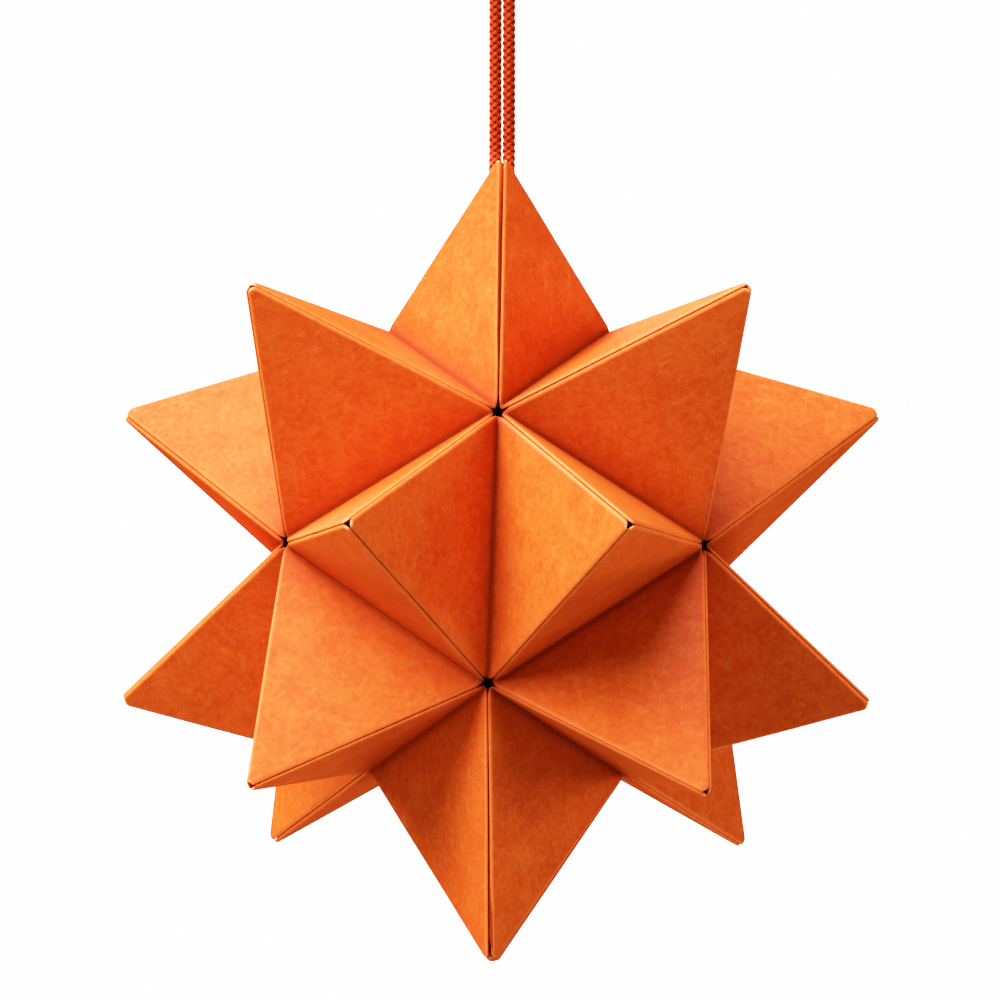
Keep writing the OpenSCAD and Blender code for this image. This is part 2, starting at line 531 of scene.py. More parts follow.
@dataclass(frozen=True)
class PaperFinish:
    """Dyed satin paper with a mottled, finely scratched face. Its rolled folds are paler, partly from wear and
    partly as a painted highlight, its tips are paler, partly bare paper core and partly a painted highlight,
    and painted shade and a painted shadow darken it towards each crease.

    A noise has its waves in a metre, its detail and its roughness; a relief has its height in millimetres and
    its strength. Reaches are millimetres from the crease, and shares say how much of a colour shows. Each set
    of hairlines has its direction in degrees and its usual distance in millimetres.
    """

    deep: Triple = (0.58, 0.043, 0.004)
    light: Triple = (0.67, 0.068, 0.0075)
    # Paler colour of the rolled edges: wear, and a painted highlight.
    wear_and_highlight: Triple = (0.93, 0.112, 0.018)
    # Paler colour of the tips: bare paper core, and a painted highlight.
    bare_and_highlight: Triple = (0.92, 0.29, 0.12)
    # Painted shade: the darker, deeper colour towards each crease.
    crease_shade: Triple = (0.34, 0.016, 0.001)
    # Painted shadow: the dark colour right along each crease.
    crease_shadow: Triple = (0.12, 0.005, 0.0006)
    hairline: Triple = (0.8, 0.17, 0.03)
    hairline_sets: tuple[Pair, ...] = ((14.0, 1.2), (-24.0, 1.5), (62.0, 2.1))
    hairline_length: float = 4.5
    hairline_fade: Pair = (0.004, 0.034)
    hairline_patch: Pair = (2.6, 1.3)
    hairline_break: Pair = (0.5, 0.62)
    hairline_share: float = 0.2
    cloud: Triple = (190.0, 3.0, 0.55)
    mottle: Triple = (760.0, 3.0, 0.6)
    grain: Triple = (3200.0, 2.0, 0.7)
    cloud_share: float = 0.55
    tone_range: Pair = (0.3, 0.7)
    wear_highlight_range: Pair = (0.6, 1.0)
    grain_shade: Pair = (0.68, 1.32)
    mottle_shade: Pair = (0.86, 1.14)
    mottle_matt: Pair = (-0.09, 0.09)
    cloud_relief: Pair = (0.10, 0.35)
    mottle_relief: Pair = (0.05, 0.45)
    grain_relief: Pair = (0.014, 0.4)
    crease_shade_reach: float = 14.0
    crease_shade_share: float = 0.6
    crease_reach: float = 2.4
    crease_shadow_share: float = 0.68
    crease_matt: float = 0.5
    roughness: float = 0.48
    gloss: float = 0.03

    def hairlines(self, nodes: Nodes, sheet: Socket, turn: float, size: float) -> Socket:
        """Thin, nearly straight fibres, cut short by a second noise.

        Args:
            nodes: The material's nodes.
            sheet: Place on the flat sheet, in millimetres.
            turn: Main direction of the fibres, in degrees.
            size: Their usual distance, in millimetres.

        Returns:
            1 on a fibre and 0 off it.
        """
        wave = nodes.noise(nodes.spread(sheet, (self.hairline_length * size, size, 1.0), turn), 1.0, 1.0)
        offset = nodes.math("ABSOLUTE", nodes.math("SUBTRACT", wave, 0.5))
        line = nodes.rest(nodes.ramp(offset, *self.hairline_fade))
        along, across = self.hairline_patch
        stretch = nodes.noise(nodes.spread(sheet, (along * size, across * size, 1.0), turn), 1.0, 2.0)
        return nodes.times(line, nodes.ramp(stretch, *self.hairline_break))

    def material(self) -> Material:
        """Builds the material of the thirty units.

        Returns:
            The material.
        """
        nodes = Nodes("satin_paper")
        place = nodes.place()
        sheet = nodes.attribute("sheet", "Vector")
        cloud, mottle, grain = (nodes.noise(place, *kind) for kind in (self.cloud, self.mottle, self.grain))
        fibres, *others = (self.hairlines(nodes, sheet, turn, size) for turn, size in self.hairline_sets)
        for other in others:
            fibres = nodes.math("MAXIMUM", fibres, other)
        tone = nodes.plus(nodes.times(cloud, self.cloud_share), nodes.times(mottle, 1 - self.cloud_share))
        tone = nodes.plus(tone, nodes.attribute("tone"))
        colour = nodes.mix(nodes.ramp(tone, *self.tone_range), self.deep, self.light)
        colour = nodes.mix(nodes.times(fibres, self.hairline_share), colour, self.hairline)
        # Rolled edges turn paler: partly wear, partly a painted highlight.
        wear_highlight_mask = nodes.times(nodes.attribute("wear_and_highlight"), nodes.span(mottle, *self.wear_highlight_range))
        colour = nodes.mix(wear_highlight_mask, colour, self.wear_and_highlight)
        # Tips turn paler: partly bare paper core, partly a painted highlight.
        colour = nodes.mix(nodes.attribute("bare_and_highlight"), colour, self.bare_and_highlight)
        across = nodes.math("ABSOLUTE", nodes.part(sheet, "Y"))
        # Painted shade that darkens and deepens the paper towards each crease.
        crease_shade_falloff = nodes.rest(nodes.ramp(across, 0.0, self.crease_shade_reach))
        crease_shade_mask = nodes.times(nodes.times(crease_shade_falloff, crease_shade_falloff), self.crease_shade_share)
        colour = nodes.mix(crease_shade_mask, colour, self.crease_shade)
        # Painted shadow: a narrow dark line along each crease; the same nearness also makes the paper more
        # matt.
        crease = nodes.rest(nodes.ramp(across, 0.0, self.crease_reach))
        crease_shadow_mask = nodes.times(nodes.times(crease, crease), self.crease_shadow_share)
        colour = nodes.mix(crease_shadow_mask, colour, self.crease_shadow)
        shade = nodes.times(nodes.span(grain, *self.grain_shade), nodes.span(mottle, *self.mottle_shade))
        matt = nodes.plus(nodes.times(crease, self.crease_matt), nodes.span(mottle, *self.mottle_matt))
        roughness = nodes.plus(matt, self.roughness)
        relief = nodes.bump(cloud, self.cloud_relief)
        relief = nodes.bump(mottle, self.mottle_relief, relief)
        relief = nodes.bump(nodes.plus(grain, fibres), self.grain_relief, relief)
        return nodes.finish(nodes.scaled(colour, shade), roughness, self.gloss, relief)


@dataclass(frozen=True)
class CordFinish:
    """Slightly glossy dyed yarn with fine filaments; the crowns of the yarns on top are painted lighter as a
    highlight, and the rest of the braid darker as painted shade.
    """

    deep: Triple = (0.2, 0.004, 0.0003)
    light: Triple = (0.66, 0.046, 0.004)
    filament: Triple = (0.11, 1.7, 1.0)
    filament_share: float = 0.4
    patch_scale: float = 700.0
    patch_share: float = 0.2
    # Share of the painted highlight on the crowns of the top yarns.
    crown_highlight_share: float = 0.6
    shade_range: Pair = (0.38, 0.98)
    matt_range: Pair = (-0.1, 0.1)
    relief: Pair = (0.03, 0.6)
    roughness: float = 0.5
    gloss: float = 0.05

    def material(self) -> Material:
        """Builds the material of the cord and its knot.

        Returns:
            The material.
        """
        nodes = Nodes("braided_yarn")
        yarn = nodes.attribute("yarn", "Vector")
        filaments = nodes.noise(nodes.spread(yarn, self.filament, 0.0), 1.0, 2.0, 0.6)
        patches = nodes.noise(nodes.place(), self.patch_scale, 2.0)
        fine = nodes.times(filaments, self.filament_share)
        shade = nodes.plus(fine, nodes.times(patches, self.patch_share))
        # Painted highlight on the crowns of the top yarns, from the yarn attribute's third value; the rest
        # stays darker as painted shade.
        shade = nodes.plus(nodes.times(nodes.part(yarn, "Z"), self.crown_highlight_share), shade)
        colour = nodes.mix(nodes.ramp(shade, *self.shade_range), self.deep, self.light)
        rough = nodes.plus(nodes.span(filaments, *self.matt_range), self.roughness)
        return nodes.finish(colour, rough, self.gloss, nodes.bump(filaments, self.relief))


@dataclass
class FoldedUnit:
    """One folded unit: a sheet that is folded on its crease, with a tab and a pocket flap on each half.

    A half is named by its side, 1 or -1, and an end of the crease in the same way. Heights are measured up a
    panel from the crease. Lengths are in millimetres.
    """

    index: int
    crease: tuple[Vec, Vec]
    sizes: StarSizes
    folding: HandFolding
    roll: float = 0.58
    roll_drop: float = 0.45
    roll_slant: float = 0.25
    row_rolls: float = 2.6
    inner_roll: float = 0.4
    tip_roll: float = 0.45
    tip_ease: float = 0.3
    blunt: float = 0.6
    crease_fillet: float = 0.12
    lean_blend: float = 0.3
    notch: float = 0.34
    notch_reach: float = 0.8
    bow: float = 0.22
    least_bow: float = 0.2
    edge_wander: float = 0.03
    wander_pace: Pair = (0.22, 0.25)
    tab_fuller: float = 0.1
    plain_fuller: float = 0.3
    gape_foot: float = 0.2
    gape_tip: float = 0.62
    gape_below: float = 0.4
    lining_foot: float = 1.6
    lining_gap: float = 3.4
    hung_gap: float = 2.4
    lining_back: float = 0.1
    lining_reach: float = 1.2
    lining_taper: Pair = (0.6, 0.8)
    # How far a front lining's far end is lifted out of the painted crease shade, in millimetres.
    lining_shade_lift: float = 4.0
    lining_fade: tuple[int, int] = (16, 8)
    tone_spread: float = 0.05
    # Strength of the paler edge colour: wear, and a painted highlight.
    wear_highlight_gain: float = 1.6
    sheet_pitch: float = 7.3
    first_seed: int = 40
    edge_steps: tuple[float, ...] = (0.0, 0.03, 0.08, 0.16, 0.28, 0.42, 0.58, 0.7)
    inner_columns: int = 11
    tip_steps: tuple[float, ...] = (0.0, 0.05, 0.15, 0.3, 0.55, 1.1, 2.2)
    foot_steps: tuple[float, ...] = (0.0, 0.4, 1.0, 1.8, 3.0)
    flat_rows: int = 11
    fillet_rows: int = 4
    flap_grid: tuple[int, int] = (7, 9)
    pinch_grid: tuple[int, int] = (4, 9)

    @property
    def name(self) -> str:
        """Name of the part's node that the unit stands for."""
        return f"folded_unit_{self.index + 1:02d}"

    def frame(self) -> tuple[Vec, Vec]:
        """The unit's own frame.

        Returns:
            Its axes as columns, crease first and the way out of the star last, and its origin.
        """
        out = unit(self.crease[0] + self.crease[1])
        along = unit(self.crease[1] - self.crease[0])
        axes = np.stack([along, np.cross(out, along), out], axis=1)
        return axes, out * self.sizes.crease_radius + self.sizes.centre

    def heading(self, side: int) -> Vec:
        """Direction of the spike that one half belongs to, from the middle of the star."""
        (_, across, out), lean = self.frame()[0].T, self.sizes.tip_lean
        return out * math.cos(lean) + side * across * math.sin(lean)

    def hung(self, side: int) -> bool:
        """Whether one half belongs to the spike that the star hangs by."""
        return self.heading(side)[2] > ALIKE

    def panel_end(self, side: int) -> PanelEnd:
        """How one half ends: only the rear panel of the hung spike is cut off."""
        x, y, _ = self.frame()[0][:, 2]
        return PanelEnd.CUT_OFF if self.hung(side) and y > 0 and abs(x) < NEAR else PanelEnd.POINTED

    def corner(self, end: int) -> Vec:
        """Direction of the valley corner at one end of the crease."""
        return self.crease[1] if end > 0 else self.crease[0]

    def gape(self, side: int, end: int, w: float) -> float:
        """How far a panel edge stands back, which only those of two ridges in the middle of the front do.

        Args:
            side: The panel's half.
            end: The end of the crease that the edge starts from.
            w: Height up the panel.

        Returns:
            The gap that is left beside the regular edge.
        """
        corner = self.corner(end)
        middle = max(abs(corner[0]), abs(self.heading(side)[0])) < NEAR
        if corner[1] > 0 or not middle:
            return 0.0
        share = w / self.sizes.tip_w
        if self.heading(side)[2] < 0:
            return self.gape_below * share
        return self.gape_foot + (self.gape_tip - self.gape_foot) * share

    def heights(self, side: int) -> Vec:
        """Heights of one panel's rows, close together at both ends.

        Args:
            side: The panel's half.

        Returns:
            The heights, from the end of the crease's fillet up to the panel's end.
        """
        sizes = self.sizes
        end = sizes.cutoff_w if self.panel_end(side) is PanelEnd.CUT_OFF else sizes.tip_w - self.blunt
        end += sizes.panel_depth
        start = self.crease_fillet * math.tan(sizes.panel_slope)
        low = start + np.array(self.foot_steps)
        high = end - np.array(self.tip_steps[::-1])
        between = np.linspace(low[-1], high[0], self.flat_rows + 2)[1:-1]
        return np.concatenate([low, between, high])

    def limits(self, side: int, w: float) -> tuple[float, float]:
        """Where a panel's two folded edges lie.

        Args:
            side: The panel's half.
            w: Height up the panel.

        Returns:
            The lower and the upper place along the crease.
        """
        sizes = self.sizes
        notch = self.notch * math.exp(-((w / self.notch_reach) ** 2))
        plain_edge = sizes.plain_inset - sizes.panel_depth - self.plain_fuller + self.gape(side, -side, w)
        tab_edge = sizes.tab_inset - sizes.panel_depth - self.tab_fuller + self.gape(side, side, w)
        plain = sizes.half_width(w, plain_edge) - notch
        tabbed = sizes.half_width(w, tab_edge) - notch
        return (-plain, tabbed) if side > 0 else (-tabbed, plain)

    def columns(self, left: float, right: float) -> tuple[Vec, Vec]:
        """Places across one row, close together at the folded edges.

        Args:
            left: Where the row starts.
            right: Where it ends.

        Returns:
            The places, and how deep each lies in the edge's roll: 1 at the edge and 0 past the roll.
        """
        slant = math.sin(self.sizes.foot_angle)
        width = (right - left) * slant
        fit = min(1.0, width / (self.row_rolls * self.roll))
        steps = np.array(self.edge_steps) * fit / slant
        inner = np.linspace(left + steps[-1], right - steps[-1], self.inner_columns + 2)[1:-1]
        places = np.concatenate([left + steps, inner, right - steps[::-1]])
        reach = np.minimum(places - left, right - places) * slant
        return places, np.clip(1 - reach / (self.roll * fit), 0, 1)

    def row(
        self, places: Vec, edge: Vec, level: tuple[object, object], turn: float, w: float, tip: float
    ) -> SheetRow:
        """One row of the sheet's outer face.

        Args:
            places: Places along the crease.
            edge: Depth in the edge's roll at each.
            level: How far the row lies across the crease and out from it.
            turn: The face's turn about the crease, in radians.
            w: Height on the flat sheet.
            tip: Depth in the tip's roll.

        Returns:
            Points, outward directions, depths in the edge's and the tip's roll, and places on the flat sheet.
        """
        y, z = (np.broadcast_to(value, places.shape) for value in level)
        out = np.tile([0.0, -math.sin(turn), math.cos(turn)], (len(places), 1))
        flat = np.column_stack([places, np.tile([w, self.sheet_pitch * self.index], (len(places), 1))])
        return np.stack([places, y, z], 1), out, edge, np.full_like(edge, tip), flat

    def panel(self, side: int, chance: np.random.Generator) -> list[SheetRow]:
        """The rows of one panel, from the crease to the tip.

        Args:
            side: 1 or -1 for the two halves.
            chance: Source of the unit's own small unevenness.

        Returns:
            The rows as `row` gives them.
        """
        slope = self.sizes.panel_slope
        heights = self.heights(side)
        end = heights[-1]
        wave = chance.uniform(0, 2 * math.pi, 2)
        bow = self.bow * chance.uniform(self.least_bow, 1.0)
        rows = []
        for w in heights:
            left, right = self.limits(side, w)
            tip = max(0.0, 1 - (end - w) / self.tip_roll)
            if tip > 0 and self.panel_end(side) is PanelEnd.POINTED:
                ease = 1 - self.tip_ease * (1 - math.sqrt(max(0.0, 1 - tip**2)))
                middle, half = (left + right) / 2, (right - left) / 2
                left, right = middle - half * ease, middle + half * ease
            bulge = math.sin(math.pi * w / end)
            left += self.edge_wander * bulge * math.sin(self.wander_pace[0] * w + wave[0])
            right += self.edge_wander * bulge * math.sin(self.wander_pace[1] * w + wave[1])
            places, edge = self.columns(left, right)
            swell = bow * np.sin(math.pi * (places - left) / (right - left)) * bulge
            y = side * (w * math.cos(slope) - swell * math.sin(slope))
            z = w * math.sin(slope) + swell * math.cos(slope)
            rows.append(self.row(places, edge, (y, z), side * slope, side * w, tip))
        return rows

    def fold(self) -> list[SheetRow]:
        """The rows of the small fillet along the crease.

        Returns:
            The rows as `row` gives them, from one panel to the other.
        """
        slope, fillet = self.sizes.panel_slope, self.crease_fillet
        start = fillet * math.tan(slope)
        rows = []
        for share in np.arange(1, self.fillet_rows + 1) / (self.fillet_rows + 1):
            turn = slope * (2 * share - 1)
            ends = np.array(self.limits(-1, start)) * (1 - share) + np.array(self.limits(1, start)) * share
            y = fillet * math.sin(turn)
            z = fillet / math.cos(slope) - fillet * math.cos(turn)
            rows.append(self.row(*self.columns(*ends), (y, z), turn, y, 0.0))
        return rows

    def sheet(self, plan: MeshPlan, chance: np.random.Generator) -> None:
        """Adds the folded sheet, with rounded edges along both ridges.

        Args:
            plan: The unit's mesh.
            chance: Source of the unit's own small unevenness.
        """
        thick = self.sizes.panel_thickness
        lower, upper = (self.panel(side, chance) for side in SIDES)
        rows = lower[::-1] + self.fold() + upper
        points, out, edge, tip, flat = (np.stack(grid) for grid in zip(*rows))
        outer = np.minimum(1.0, np.hypot(edge, tip))
        inner_edge = np.clip(1 - (1 - edge) * self.roll / self.inner_roll, 0, 1)
        inner = np.minimum(1.0, np.hypot(inner_edge, tip))
        bend = self.roll_slant * outer + (1 - self.roll_slant) * (1 - np.sqrt(1 - outer**2))
        rise = (thick - self.roll_drop) * (1 - np.sqrt(1 - inner**2))
        face = points - out * (self.roll_drop * bend)[..., None]
        back = points - out * (thick - rise)[..., None]
        faces, order = welded_grids(*edge.shape)
        none = np.zeros(edge.size)
        both = np.concatenate([face.reshape(-1, 3), back.reshape(-1, 3)])[order]
        # Rolled edges and tips take the paler edge colour: partly wear, partly a painted highlight.
        wear_and_highlight = np.concatenate([np.minimum(1.0, self.wear_highlight_gain * outer.ravel()), none])[order]
        # The very tips take a paler colour: partly bare paper core, partly a painted highlight.
        bare_and_highlight = np.concatenate([np.clip(2 * tip.ravel() - 1, 0, 1), none])[order]
        place = np.tile(flat.reshape(-1, 3), (2, 1))[order]
        tone = np.full(len(both), self.tone_spread * chance.uniform(-1, 1))
        plan.add(both, faces, wear_and_highlight=wear_and_highlight, bare_and_highlight=bare_and_highlight, sheet=place, tone=tone)

    def flap(
        self, plan: MeshPlan, corners: Vec, out: Vec, count: tuple[int, int], bright: float | None = None
    ) -> None:
        """Adds one flat ply with rounded edges.

        Args:
            plan: The unit's mesh.
            corners: Its four corners in the unit's frame, in turn.
            out: The direction that it faces.
            count: Rows and columns of its grid.
            bright: Given for a lining, which takes the painted crease shade and shadow all over: how far its
                far end is lifted out of them and given the paler edge colour of wear and painted highlight,
                from 0 to 1.
        """
        ply = self.sizes.ply_thickness
        rows, columns = (0.5 - 0.5 * np.cos(np.linspace(0, math.pi, number)) for number in count)
        low = corners[0] + np.outer(columns, corners[1] - corners[0])
        high = corners[3] + np.outer(columns, corners[2] - corners[3])
        grid = low[None] * (1 - rows)[:, None, None] + high[None] * rows[:, None, None]
        inside = np.ones(count)
        inside[0], inside[-1], inside[:, 0], inside[:, -1] = 0, 0, 0, 0
        faces, order = welded_grids(*count)
        lift = (inside * ply / 2)[..., None] * out
        both = np.concatenate([(grid + lift).reshape(-1, 3), (grid - lift).reshape(-1, 3)])[order]
        still = np.zeros(len(both))
        wear_and_highlight, sheet = still, both
        # A lining's sheet place lies on the crease, so it is painted with the crease shade and shadow; only a
        # front lining's far end is lifted out of them and painted paler. Other plies keep their own place as
        # their sheet place.
        if bright is not None:
            share = np.tile(columns, 2 * count[0])[order]
            wear_and_highlight = bright * share ** self.lining_fade[0]
            clear = self.lining_shade_lift * bright * share ** self.lining_fade[1]
            sheet = np.column_stack([both[:, 0], clear, both[:, 2]])
        plan.add(both, faces, wear_and_highlight=wear_and_highlight, bare_and_highlight=still, sheet=sheet, tone=still)

    def tuck(self, plan: MeshPlan, side: int) -> None:
        """Adds the tab, the fold that lines its slit and the pocket flap of one half.

        Args:
            plan: The unit's mesh.
            side: 1 or -1 for the two halves.
        """
        sizes = self.sizes
        lay = rotation("X", sizes.panel_slope)
        half = np.diag([side, side, 1.0])
        hinge = rotation("Z", math.pi - sizes.foot_angle) @ rotation("X", -sizes.ridge_angle)
        foot, root, taper, depth = sizes.tab_foot_gap, sizes.tab_root, sizes.tab_taper, sizes.tab_depth
        top = sizes.ridge_length * (1 - sizes.rear_cutoff / sizes.spike_height) - sizes.tab_tip_gap
        tab = trapezoid((foot, top, root), (foot + taper, top - taper, root + sizes.tab_reach), depth)
        rear = self.hung(side) and abs(self.corner(side)[0]) > NEAR
        front = self.hung(side) and not rear
        lined = top if rear else sizes.ridge_length - (self.hung_gap if front else self.lining_gap)
        start, (near, far) = self.lining_foot, self.lining_taper
        low, high = root - self.lining_back, root + self.lining_reach
        lining = trapezoid((start, lined, low), (start + near, lined - far, high), depth)
        away = half @ lay @ hinge @ np.array([0, 0, -1.0])
        for ply, bright in ((tab, None), (lining, float(front))):
            ply = ply @ hinge.T + np.array([sizes.crease_length / 2, 0, 0])
            self.flap(plan, ply @ lay.T @ half.T, away, self.flap_grid, bright)
        low, high = sizes.crease_w(sizes.pocket_depth), sizes.pocket_height
        wide, narrow = (sizes.half_width(w, sizes.pocket_inset) for w in (low, high))
        pocket = trapezoid((-wide, wide, low), (-narrow, narrow, high), -sizes.pocket_depth)
        self.flap(plan, pocket @ lay.T @ half.T, half @ lay @ np.array([0, 0, 1.0]), self.flap_grid)

    def pinch(self, plan: MeshPlan) -> None:
        """Adds the pinched plies that join both pocket flaps to the crease.

        Args:
            plan: The unit's mesh.
        """
        sizes = self.sizes
        reach = sizes.half_width(sizes.crease_w(sizes.pocket_depth), sizes.pocket_inset)
        high = -sizes.panel_depth / math.cos(sizes.panel_slope)
        low = -sizes.pocket_depth / math.cos(sizes.panel_slope)
        corners = np.array([[-reach, 0, low], [reach, 0, low], [reach, 0, high], [-reach, 0, high]])
        self.flap(plan, corners, np.array([0.0, -1.0, 0.0]), self.pinch_grid)

    def build(self, material: Material) -> Piece:
        """Builds the unit.

        Args:
            material: Its paper.

        Returns:
            The unit's object.
        """
        chance = np.random.default_rng(self.first_seed + self.index)
        plan = MeshPlan()
        self.sheet(plan, chance)
        for side in (1, -1):
            self.tuck(plan, side)
        self.pinch(plan)
        plan.points = [self.settled(points) for points in plan.points]
        return plan.make(f"paper_unit_{self.index + 1:02d}", material, self.name)

    def settled(self, points: Vec) -> Vec:
        """Puts points of the unit in the star, each half as its own spike is set.

        Args:
            points: Points in the unit's frame.

        Returns:
            The points in the part's frame.
        """
        axes, origin = self.frame()
        centre = self.sizes.centre
        placed = np.column_stack([points @ axes.T + origin - centre, np.ones(len(points))])
        first, second = (end * self.sizes.crease_length / 2 for end in self.crease)
        share = np.clip(0.5 + points[:, 1:2] / (2 * self.lean_blend), 0, 1)
        lower, upper = (placed @ self.folding.spike(first, second, self.heading(side)) for side in SIDES)
        return lower * (1 - share) + upper * share + centre


def trapezoid(low: Triple, high: Triple, depth: float) -> Vec:
    """Corners of a flat ply with two level edges.

    Args:
        low: Start, end and height of its lower edge.
        high: Start, end and height of its upper edge.
        depth: Its place along the third axis.

    Returns:
        The four corners, in turn.
    """
    return np.array([[*low[::2], depth], [*low[1:], depth], [*high[1:], depth], [*high[::2], depth]])


def welded_grids(rows: int, columns: int) -> tuple[list[tuple[int, ...]], Vec]:
    """Two grids of points, one over the other, that share their rim.

    Args:
        rows: Points one way.
        columns: Points the other way.

    Returns:
        Faces of the closed shell, and which of the stacked points each of its corners takes.
    """
    top = np.arange(rows * columns).reshape(rows, columns)
    under = np.full((rows, columns), -1)
    under[0], under[-1], under[:, 0], under[:, -1] = top[0], top[-1], top[:, 0], top[:, -1]
    free = np.argwhere(under < 0)
    under[under < 0] = rows * columns + np.arange(len(free))
    order = np.concatenate([np.arange(rows * columns), rows * columns + free[:, 0] * columns + free[:, 1]])
    faces: list[tuple[int, ...]] = []
    corners = ((0, 0), (0, 1), (1, 1), (1, 0))
    for i, j in product(range(rows - 1), range(columns - 1)):
        faces.append(tuple(int(top[i + a, j + b]) for a, b in corners))
        faces.append(tuple(int(under[i + b, j + a]) for a, b in corners))
    return faces, order


@dataclass
class Braid:
    """A round braid of eight yarns along a path."""

    path: Vec
    diameter: float
    lead: float = 5.6
    yarns: int = 4
    yarn_thick: float = 0.5
    yarn_wide: float = 0.86
    weave: float = 0.1
    core: float = 1.4
    ring: int = 8

    def frames(self) -> tuple[Vec, Vec, Vec]:
        """Directions across the path that don't twist.

        Returns:
            Distance along the path, and two directions across it at each point.
        """
        heading = unit(np.gradient(self.path, axis=0))
        first = np.empty_like(heading)
        first[0] = unit(np.cross(heading[0], [1.0, 0.0, 0.0]))
        for i in range(1, len(heading)):
            first[i] = unit(first[i - 1] - heading[i] * (first[i - 1] @ heading[i]))
        return distances(self.path), first, np.cross(heading, first)

    def add(self, plan: MeshPlan) -> None:
        """Adds the eight yarns and the core that they lie on.

        Args:
            plan: The mesh that takes them.
        """
        length, first, second = self.frames()
        middle = self.diameter / 2 - self.weave - self.yarn_thick / 2
        for turn, number in product(Turn, range(self.yarns)):
            angle = 2 * math.pi * (number / self.yarns + turn.value * length / self.lead)
            radial = np.cos(angle)[:, None] * first + np.sin(angle)[:, None] * second
            over = turn.value * np.cos(self.yarns * angle)
            line = self.path + (middle + self.weave * over)[:, None] * radial
            self.tube(plan, line, radial, (self.yarn_wide, self.yarn_thick), length, 0.5 + 0.5 * over)
        core = (self.core * middle, self.core * middle)
        self.tube(plan, self.path, first, core, length, np.zeros(len(length)))

    def tube(self, plan: MeshPlan, line: Vec, up: Vec, size: Pair, length: Vec, over: Vec) -> None:
        """Adds one closed tube.

        Args:
            plan: The mesh that takes it.
            line: Its middle line.
            up: The direction of its thickness.
            size: Its width and thickness.
            length: Distance along the cord at each point.
            over: How far it lies on top of the others at each point, from 0 to 1.
        """
        heading = unit(np.gradient(line, axis=0))
        side = unit(np.cross(heading, up))
        lift = np.cross(side, heading)
        turns = np.arange(self.ring) * 2 * math.pi / self.ring
        rings = (
            line[:, None]
            + size[0] / 2 * np.cos(turns)[None, :, None] * side[:, None]
            + size[1] / 2 * np.sin(turns)[None, :, None] * lift[:, None]
        )
        count = len(line)
        faces: list[tuple[int, ...]] = []
        for i, k in product(range(count - 1), range(self.ring)):
            a, b = i * self.ring + k, i * self.ring + (k + 1) % self.ring
            faces.append((a, a + self.ring, b + self.ring, b))
        faces.append(tuple(range(self.ring)))
        faces.append(tuple((count - 1) * self.ring + k for k in reversed(range(self.ring))))
        # The third value of the yarn attribute marks the outer half of a yarn where it lies on top, for the
        # painted highlight.
        crown_highlight = np.outer(over, np.clip(np.sin(turns), 0, 1)).ravel()
        strand = np.stack([np.tile(turns, count), np.repeat(length, self.ring), crown_highlight], 1)
        plan.add(rings.reshape(-1, 3), faces, yarn=strand)


@dataclass
class DoubledCord:
    """The hanging cord: up one strand from the knot, over the loop and down the other."""

    sizes: StarSizes
    diameter: float = 2.1
    fluff: float = 0.42
    length: float = 146.2
    step: float = 0.2
    knot_diameter: float = 6.6
    knot_drop: float = 13.26
    knot_cord: float = 0.9
    knot_ring: float = 0.66
    knot_tall: float = 1.15
    knot_turns: tuple[int, int] = (2, 3)
    knot_points: int = 260
    strand: tuple[Triple, ...] = (
        (-1.3, 1.3, -11.8),
        (-1.3, 1.3, -10.0),
        (-1.3, 1.7, -8.0),
        (-1.3, 2.6, -6.0),
        (-1.3, 3.9, -4.0),
        (-1.3, 4.9, -2.0),
        (-1.3, 5.2, 0.0),
        (-1.3, 5.2, 10.0),
        (-1.3, 5.2, 20.0),
        (-1.3, 5.2, 31.0),
        (-1.5, 5.2, 35.0),
        (-2.2, 5.2, 38.5),
        (-3.2, 5.2, 42.0),
        (-4.3, 5.2, 45.5),
        (-5.0, 5.2, 49.0),
        (-5.1, 5.2, 51.9),
        (-4.4, 5.2, 54.5),
        (-2.6, 5.2, 56.3),
    )
    loop_top: Triple = (0.0, 5.2, 57.0)

    def path(self) -> Vec:
        """The smooth middle line of the cord.

        Returns:
            Points about `step` apart, in the part's frame.
        """
        up = np.array(self.strand)
        route = np.concatenate([up, [self.loop_top], (up * [-1, 1, 1])[::-1]])
        return even_curve(route - np.array(self.sizes.hang_point), self.step)

    def build(self, material: Material) -> list[Piece]:
        """Args:
            material: The yarn of both.

        Returns:
            The cord and the knot.
        """
        path = self.path()
        plan = MeshPlan()
        Braid(path, self.diameter + self.fluff).add(plan)
        cord = plan.make("braided_cord", material, "cord_loop")
        knot = self.knot(material)
        return [cord, knot]

    def knot(self, material: Material) -> Piece:
        """Builds the stopper knot, tied from the same cord.

        Args:
            material: Its yarn.

        Returns:
            The knot's object.
        """
        thick = self.knot_cord * self.diameter
        reach = (self.knot_diameter - thick) / 2
        ring, tube = self.knot_ring * reach, (1 - self.knot_ring) * reach
        turn = np.linspace(0, 2 * math.pi, self.knot_points)
        around, through = (number * turn for number in self.knot_turns)
        wide, high = ring + tube * np.cos(through), self.knot_tall * tube * np.sin(through)
        line = np.stack([wide * np.cos(around), wide * np.sin(around), high], 1)
        line += np.array([0, 0, -self.knot_drop]) - np.array(self.sizes.hang_point)
        plan = MeshPlan()
        Braid(line, thick, lead=5.0, yarn_thick=0.4, yarn_wide=0.62, weave=0.1).add(plan)
        return plan.make("stopper_knot", material, "cord_knot")


def distances(line: Vec) -> Vec:
    """How far each point of a line lies from its start, along the line."""
    return np.concatenate([[0.0], np.cumsum(np.linalg.norm(np.diff(line, axis=0), axis=1))])


